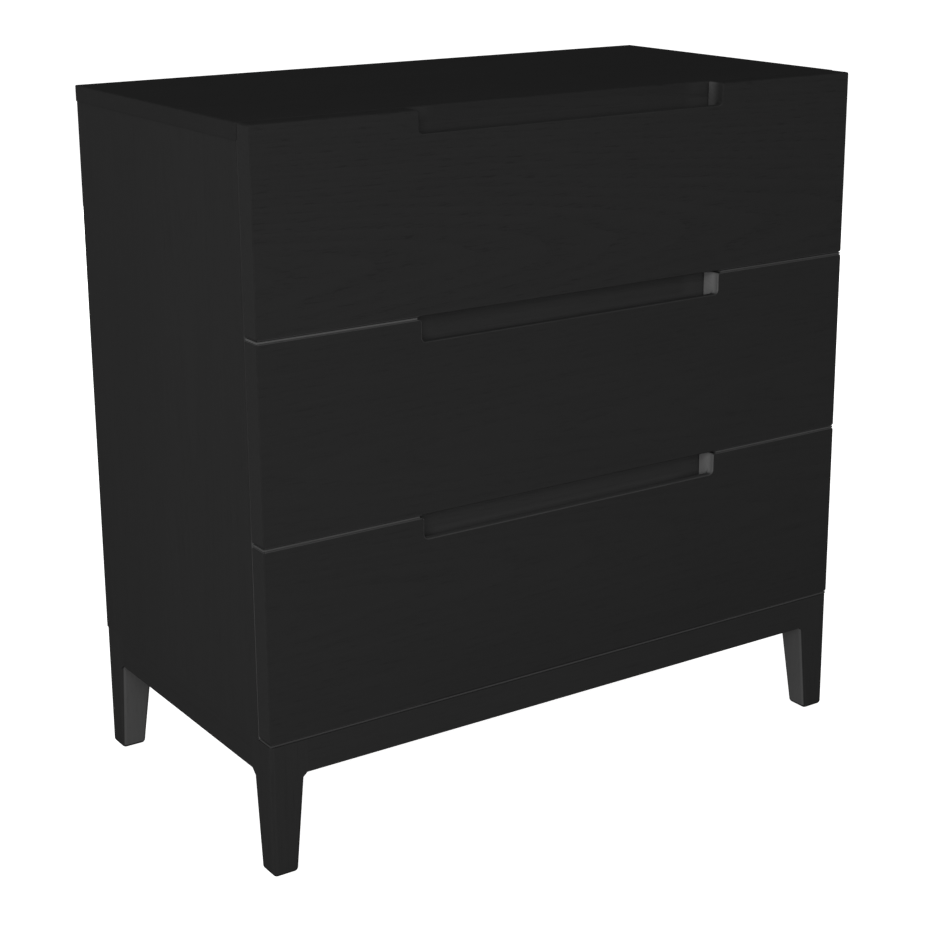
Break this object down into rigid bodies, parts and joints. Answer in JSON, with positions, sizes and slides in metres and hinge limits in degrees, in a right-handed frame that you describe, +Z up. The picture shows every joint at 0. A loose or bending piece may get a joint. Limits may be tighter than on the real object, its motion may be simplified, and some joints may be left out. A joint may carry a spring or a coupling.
{
  "type": "chest of drawers",
  "caption": "Low chest with full-width handleless drawers, finger notches in their top edges, and a base frame on tapered legs.",
  "frame": {"origin": "on the floor, under the middle of the chest's bounding box", "axes": "+Z up, the drawers open towards -Y, +X to the right seen from the front"},
  "size_m": [0.8, 0.42, 0.81],
  "materials": {
    "black_stained_oak": "satin black stain over open oak grain",
    "grey_lacquered_birch": "grey pigmented matt lacquer",
    "beech": "planed, unfinished",
    "back_board": "matt black hardboard",
    "zinc_plated_steel": "bright zinc plate"
  },
  "bodies": {
    "carcass": {"top_panel": "black_stained_oak", "left_side_panel": "black_stained_oak", "right_side_panel": "black_stained_oak", "bottom_panel": "black_stained_oak", "back_panel": "back_board", "rail_under_top": "black_stained_oak", "rail_under_drawer_1": "black_stained_oak", "rail_under_drawer_2": "black_stained_oak", "carcass_dowels": "beech", "front_apron": "black_stained_oak", "back_apron": "black_stained_oak", "left_apron": "black_stained_oak", "right_apron": "black_stained_oak", "front_left_leg": "black_stained_oak", "front_right_leg": "black_stained_oak", "back_left_leg": "black_stained_oak", "back_right_leg": "black_stained_oak", "corner_blocks": "beech", "runner_1_left_cabinet_member": "zinc_plated_steel", "runner_1_right_cabinet_member": "zinc_plated_steel", "runner_2_left_cabinet_member": "zinc_plated_steel", "runner_2_right_cabinet_member": "zinc_plated_steel", "runner_3_left_cabinet_member": "zinc_plated_steel", "runner_3_right_cabinet_member": "zinc_plated_steel"},
    "drawer_1": {"drawer_1_front": "black_stained_oak", "drawer_1_box_front": "grey_lacquered_birch", "drawer_1_box_back": "grey_lacquered_birch", "drawer_1_box_bottom": "grey_lacquered_birch", "drawer_1_box_left_side": "grey_lacquered_birch", "drawer_1_box_right_side": "grey_lacquered_birch", "runner_1_left_drawer_member": "zinc_plated_steel", "runner_1_right_drawer_member": "zinc_plated_steel"},
    "runner_1_middles": {"runner_1_left_middle_member": "zinc_plated_steel", "runner_1_right_middle_member": "zinc_plated_steel"},
    "drawer_2": {"drawer_2_front": "black_stained_oak", "drawer_2_box_front": "grey_lacquered_birch", "drawer_2_box_back": "grey_lacquered_birch", "drawer_2_box_bottom": "grey_lacquered_birch", "drawer_2_box_left_side": "grey_lacquered_birch", "drawer_2_box_right_side": "grey_lacquered_birch", "runner_2_left_drawer_member": "zinc_plated_steel", "runner_2_right_drawer_member": "zinc_plated_steel"},
    "runner_2_middles": {"runner_2_left_middle_member": "zinc_plated_steel", "runner_2_right_middle_member": "zinc_plated_steel"},
    "drawer_3": {"drawer_3_front": "black_stained_oak", "drawer_3_box_front": "grey_lacquered_birch", "drawer_3_box_back": "grey_lacquered_birch", "drawer_3_box_bottom": "grey_lacquered_birch", "drawer_3_box_left_side": "grey_lacquered_birch", "drawer_3_box_right_side": "grey_lacquered_birch", "runner_3_left_drawer_member": "zinc_plated_steel", "runner_3_right_drawer_member": "zinc_plated_steel"},
    "runner_3_middles": {"runner_3_left_middle_member": "zinc_plated_steel", "runner_3_right_middle_member": "zinc_plated_steel"}
  },
  "joints": [
    {"name": "drawer_1_slide", "type": "slide", "parent": "carcass", "child": "drawer_1", "axis": [0, -1, 0], "range_m": [0, 0.34]},
    {"name": "runner_1_slide", "type": "slide", "parent": "carcass", "child": "runner_1_middles", "axis": [0, -1, 0], "range_m": [0, 0.17]},
    {"name": "drawer_2_slide", "type": "slide", "parent": "carcass", "child": "drawer_2", "axis": [0, -1, 0], "range_m": [0, 0.34]},
    {"name": "runner_2_slide", "type": "slide", "parent": "carcass", "child": "runner_2_middles", "axis": [0, -1, 0], "range_m": [0, 0.17]},
    {"name": "drawer_3_slide", "type": "slide", "parent": "carcass", "child": "drawer_3", "axis": [0, -1, 0], "range_m": [0, 0.34]},
    {"name": "runner_3_slide", "type": "slide", "parent": "carcass", "child": "runner_3_middles", "axis": [0, -1, 0], "range_m": [0, 0.17]}
  ],
  "couplings": [
    {"joint": "runner_1_slide", "follows": "drawer_1_slide", "ratio": 0.5},
    {"joint": "runner_2_slide", "follows": "drawer_2_slide", "ratio": 0.5},
    {"joint": "runner_3_slide", "follows": "drawer_3_slide", "ratio": 0.5}
  ]
}
